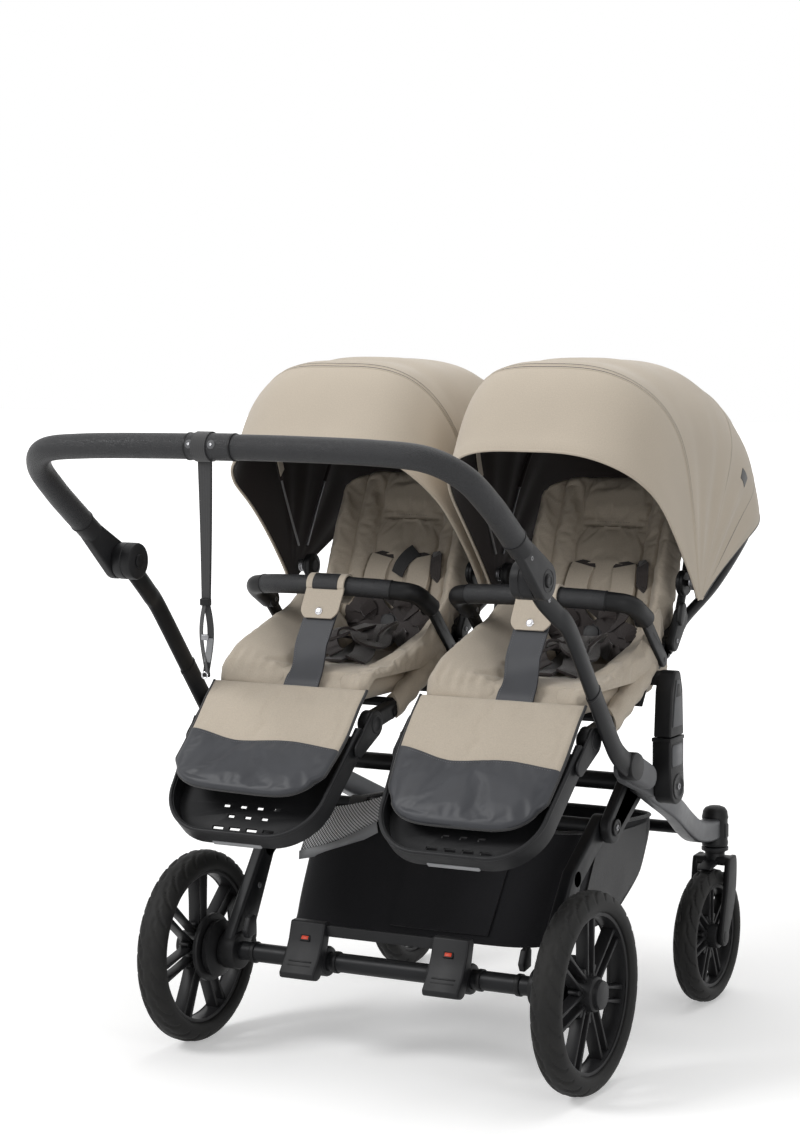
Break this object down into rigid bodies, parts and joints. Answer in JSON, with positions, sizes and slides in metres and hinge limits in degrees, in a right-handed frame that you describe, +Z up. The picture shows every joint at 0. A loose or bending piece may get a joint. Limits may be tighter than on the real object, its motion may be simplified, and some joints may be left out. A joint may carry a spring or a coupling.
{
  "type": "side-by-side double stroller",
  "caption": "Side-by-side double stroller with parent-facing seats, canopies, bumper bars, footrests, one U-shaped handle, spoked wheels and a basket.",
  "frame": {"origin": "bottom centre of the bounding box, on the ground", "axes": "+Z up, +Y the way it travels (front wheels), +X to the right as seen by the person who pushes"},
  "size_m": [0.7522, 1.1822, 1.0775],
  "materials": {
    "frame_paint": "satin dark grey paint",
    "black_plastic": "fine grain",
    "grey_plastic": "fine grain",
    "tyre": "matt with tread grooves",
    "leather": "grained and stitched",
    "beige_fabric": "plain weave",
    "black_fabric": "plain weave",
    "brown_webbing": "ribbed webbing",
    "steel": "plain"
  },
  "bodies": {
    "chassis": {"side_plate_left": "frame_paint", "side_plate_right": "frame_paint", "front_leg_left": "grey_plastic", "front_leg_right": "grey_plastic", "front_crossbar": "frame_paint", "centre_bridge": "black_plastic", "rear_crossbar": "frame_paint", "adaptor_left": "grey_plastic", "adaptor_right": "grey_plastic", "basket": "black_fabric"},
    "handle_frame": {"handle_leg_left": "frame_paint", "handle_leg_right": "frame_paint"},
    "rear_frame": {"rear_leg_left": "frame_paint", "rear_leg_right": "frame_paint", "rear_axle": "frame_paint"},
    "handle": {"handle_bar": "leather", "handle_joint_left": "black_plastic", "handle_joint_right": "black_plastic", "wrist_strap": "black_fabric"},
    "brake": {"brake_pedals": "grey_plastic"},
    "handle_button_left": {"handle_button_left": "grey_plastic"},
    "rear_wheel_left": {"rear_tyre_left": "tyre", "rear_rim_left": "black_plastic"},
    "caster_left": {"fork_left": "black_plastic"},
    "front_wheel_left": {"front_tyre_left": "tyre", "front_rim_left": "black_plastic"},
    "swivel_lock_left": {"swivel_lock_left": "grey_plastic"},
    "seat_left": {"seat_frame_left": "frame_paint", "seat_pad_left": "beige_fabric", "crotch_strap_left": "leather", "canopy_left": "beige_fabric"},
    "backrest_left": {"backrest_frame_left": "frame_paint", "back_pad_left": "beige_fabric", "harness_left": "brown_webbing"},
    "harness_button_left": {"harness_button_left": "grey_plastic"},
    "canopy_front_left": {"canopy_front_bow_left": "steel"},
    "canopy_mid_left": {"canopy_mid_bow_left": "steel"},
    "bumper_left": {"bumper_bar_left": "leather"},
    "footrest_left": {"footrest_tray_left": "grey_plastic", "footrest_mat_left": "beige_fabric"},
    "handle_button_right": {"handle_button_right": "grey_plastic"},
    "rear_wheel_right": {"rear_tyre_right": "tyre", "rear_rim_right": "black_plastic"},
    "caster_right": {"fork_right": "black_plastic"},
    "front_wheel_right": {"front_tyre_right": "tyre", "front_rim_right": "black_plastic"},
    "swivel_lock_right": {"swivel_lock_right": "grey_plastic"},
    "seat_right": {"seat_frame_right": "frame_paint", "seat_pad_right": "beige_fabric", "crotch_strap_right": "leather", "canopy_right": "beige_fabric"},
    "backrest_right": {"backrest_frame_right": "frame_paint", "back_pad_right": "beige_fabric", "harness_right": "brown_webbing"},
    "harness_button_right": {"harness_button_right": "grey_plastic"},
    "canopy_front_right": {"canopy_front_bow_right": "steel"},
    "canopy_mid_right": {"canopy_mid_bow_right": "steel"},
    "bumper_right": {"bumper_bar_right": "leather"},
    "footrest_right": {"footrest_tray_right": "grey_plastic", "footrest_mat_right": "beige_fabric"}
  },
  "joints": [
    {"name": "fold", "type": "hinge", "parent": "chassis", "child": "handle_frame", "pos_m": [0, 0.14726, 0.421], "axis": [-1, 0, 0], "range_deg": [0, 25]},
    {"name": "rear_fold", "type": "hinge", "parent": "chassis", "child": "rear_frame", "pos_m": [0, 0.06726, 0.364], "axis": [1, 0, 0], "range_deg": [0, 18.25]},
    {"name": "handle_tilt", "type": "hinge", "parent": "handle_frame", "child": "handle", "pos_m": [0, -0.31074, 0.783], "axis": [1, 0, 0], "range_deg": [-35, 45]},
    {"name": "brake_press", "type": "hinge", "parent": "rear_frame", "child": "brake", "pos_m": [0, -0.12774, 0.1525], "axis": [1, 0, 0], "range_deg": [0, 12]},
    {"name": "handle_button_left_press", "type": "slide", "parent": "handle", "child": "handle_button_left", "axis": [1, 0, 0], "range_m": [0, 0.0025], "stiffness_N_per_m": 400, "springref_m": -0.002},
    {"name": "rear_wheel_left_spin", "type": "hinge", "parent": "rear_frame", "child": "rear_wheel_left", "pos_m": [-0.339, -0.12774, 0.1525], "axis": [1, 0, 0], "continuous": true},
    {"name": "caster_left_swivel", "type": "hinge", "parent": "chassis", "child": "caster_left", "pos_m": [-0.285, 0.50426, 0.257], "axis": [0, 0, 1], "continuous": true},
    {"name": "front_wheel_left_spin", "type": "hinge", "parent": "caster_left", "child": "front_wheel_left", "pos_m": [-0.285, 0.47226, 0.1115], "axis": [1, 0, 0], "continuous": true},
    {"name": "swivel_lock_left_turn", "type": "hinge", "parent": "chassis", "child": "swivel_lock_left", "pos_m": [-0.285, 0.50426, 0.2507], "axis": [0, 0, 1], "range_deg": [0, 30]},
    {"name": "seat_left_lift", "type": "slide", "parent": "chassis", "child": "seat_left", "axis": [0, 0, 1], "range_m": [0, 0.12]},
    {"name": "backrest_left_recline", "type": "hinge", "parent": "seat_left", "child": "backrest_left", "pos_m": [-0.1855, 0.25026, 0.65], "axis": [-1, 0, 0], "range_deg": [0, 45]},
    {"name": "harness_button_left_press", "type": "slide", "parent": "backrest_left", "child": "harness_button_left", "axis": [0, 0.9205, -0.3907], "range_m": [0, 0.002], "stiffness_N_per_m": 400, "springref_m": -0.002},
    {"name": "canopy_left_fold", "type": "hinge", "parent": "seat_left", "child": "canopy_front_left", "pos_m": [-0.1855, 0.23826, 0.728], "axis": [-1, 0, 0], "range_deg": [0, 75], "deforming": ["canopy_left"]},
    {"name": "canopy_left_mid_fold", "type": "hinge", "parent": "seat_left", "child": "canopy_mid_left", "pos_m": [-0.1855, 0.23826, 0.728], "axis": [-1, 0, 0], "range_deg": [0, 37.5], "deforming": ["canopy_left"]},
    {"name": "bumper_left_swing", "type": "hinge", "parent": "seat_left", "child": "bumper_left", "pos_m": [-0.1855, 0.16326, 0.615], "axis": [-1, 0, 0], "range_deg": [0, 60]},
    {"name": "footrest_left_raise", "type": "hinge", "parent": "seat_left", "child": "footrest_left", "pos_m": [-0.1855, -0.09274, 0.524], "axis": [-1, 0, 0], "range_deg": [0, 50]},
    {"name": "handle_button_right_press", "type": "slide", "parent": "handle", "child": "handle_button_right", "axis": [-1, 0, 0], "range_m": [0, 0.0025], "stiffness_N_per_m": 400, "springref_m": -0.002},
    {"name": "rear_wheel_right_spin", "type": "hinge", "parent": "rear_frame", "child": "rear_wheel_right", "pos_m": [0.339, -0.12774, 0.1525], "axis": [1, 0, 0], "continuous": true},
    {"name": "caster_right_swivel", "type": "hinge", "parent": "chassis", "child": "caster_right", "pos_m": [0.285, 0.50426, 0.257], "axis": [0, 0, 1], "continuous": true},
    {"name": "front_wheel_right_spin", "type": "hinge", "parent": "caster_right", "child": "front_wheel_right", "pos_m": [0.285, 0.47226, 0.1115], "axis": [1, 0, 0], "continuous": true},
    {"name": "swivel_lock_right_turn", "type": "hinge", "parent": "chassis", "child": "swivel_lock_right", "pos_m": [0.285, 0.50426, 0.2507], "axis": [0, 0, 1], "range_deg": [0, 30]},
    {"name": "seat_right_lift", "type": "slide", "parent": "chassis", "child": "seat_right", "axis": [0, 0, 1], "range_m": [0, 0.12]},
    {"name": "backrest_right_recline", "type": "hinge", "parent": "seat_right", "child": "backrest_right", "pos_m": [0.1855, 0.25026, 0.65], "axis": [-1, 0, 0], "range_deg": [0, 45]},
    {"name": "harness_button_right_press", "type": "slide", "parent": "backrest_right", "child": "harness_button_right", "axis": [0, 0.9205, -0.3907], "range_m": [0, 0.002], "stiffness_N_per_m": 400, "springref_m": -0.002},
    {"name": "canopy_right_fold", "type": "hinge", "parent": "seat_right", "child": "canopy_front_right", "pos_m": [0.1855, 0.23826, 0.728], "axis": [-1, 0, 0], "range_deg": [0, 75], "deforming": ["canopy_right"]},
    {"name": "canopy_right_mid_fold", "type": "hinge", "parent": "seat_right", "child": "canopy_mid_right", "pos_m": [0.1855, 0.23826, 0.728], "axis": [-1, 0, 0], "range_deg": [0, 37.5], "deforming": ["canopy_right"]},
    {"name": "bumper_right_swing", "type": "hinge", "parent": "seat_right", "child": "bumper_right", "pos_m": [0.1855, 0.16326, 0.615], "axis": [-1, 0, 0], "range_deg": [0, 60]},
    {"name": "footrest_right_raise", "type": "hinge", "parent": "seat_right", "child": "footrest_right", "pos_m": [0.1855, -0.09274, 0.524], "axis": [-1, 0, 0], "range_deg": [0, 50]}
  ],
  "couplings": [
    {"joint": "rear_fold", "follows": "fold", "ratio": 0.73},
    {"joint": "canopy_left_mid_fold", "follows": "canopy_left_fold", "ratio": 0.5},
    {"joint": "canopy_right_mid_fold", "follows": "canopy_right_fold", "ratio": 0.5}
  ]
}
